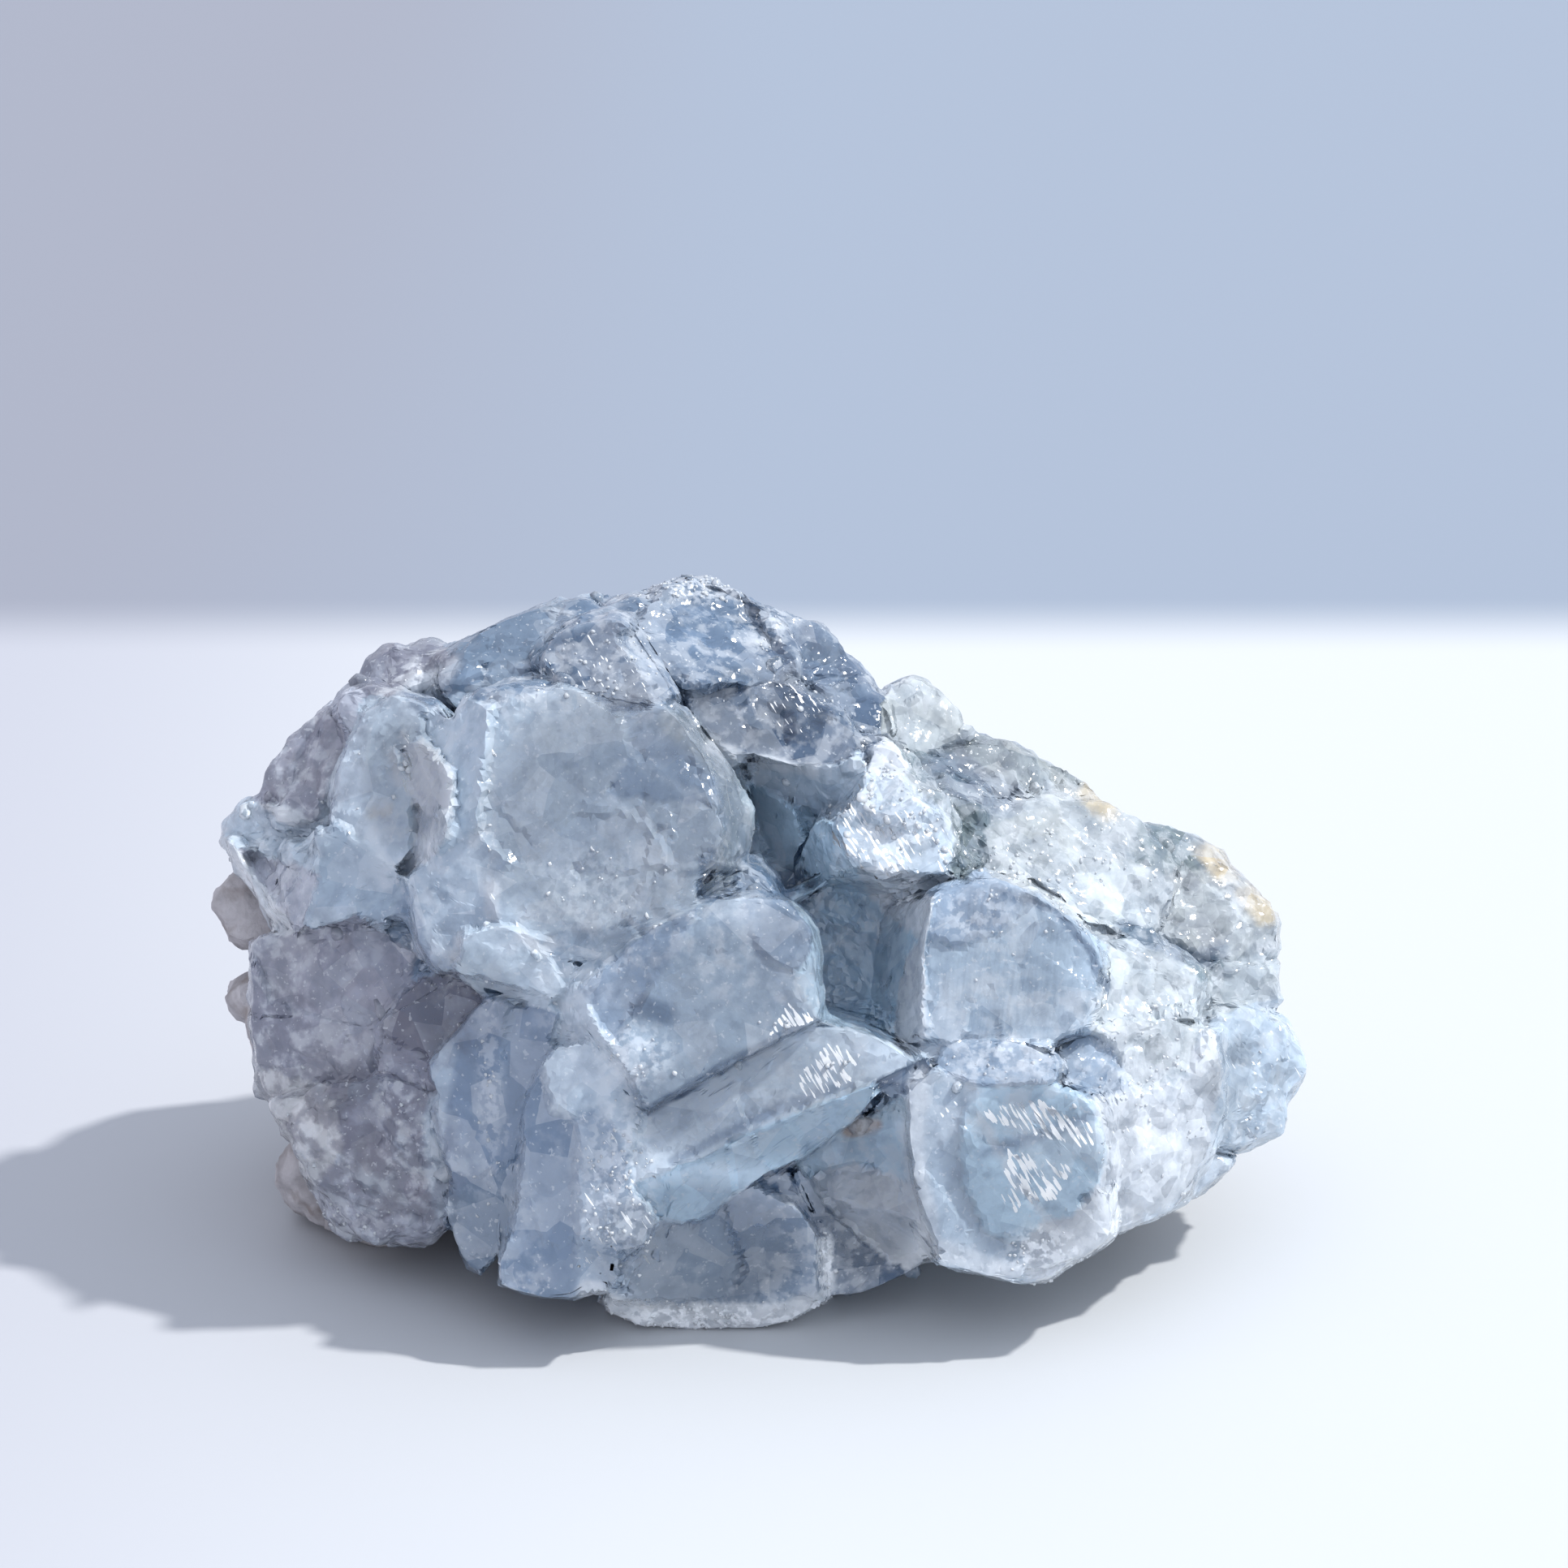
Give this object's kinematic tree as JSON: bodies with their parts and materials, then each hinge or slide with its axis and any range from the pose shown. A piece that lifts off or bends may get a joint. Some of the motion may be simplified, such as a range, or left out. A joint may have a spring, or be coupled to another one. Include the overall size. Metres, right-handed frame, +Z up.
{
  "type": "celestite geode",
  "caption": "Fist-sized piece of a celestite geode: blocky intergrown pale blue crystals around a dark pocket, backed by a shell of grey-brown host rock.",
  "frame": {"origin": "middle of the bounding box's footprint, on the surface the piece rests on", "axes": "+X to the right as the crystal side is looked at, +Y from the crystal side towards the rind at the back, +Z up; the crystal side leans back by 21 degrees"},
  "size_m": [0.094, 0.0588, 0.0546],
  "materials": {
    "celestite": "translucent, milky pale blue, glossy cleavage faces with frosted white edges",
    "rind": "rough, matt, grey-beige marl with darker brown pits"
  },
  "bodies": {
    "root": {"celestite_crystals": "celestite", "matrix_rind": "rind"}
  },
  "joints": []
}
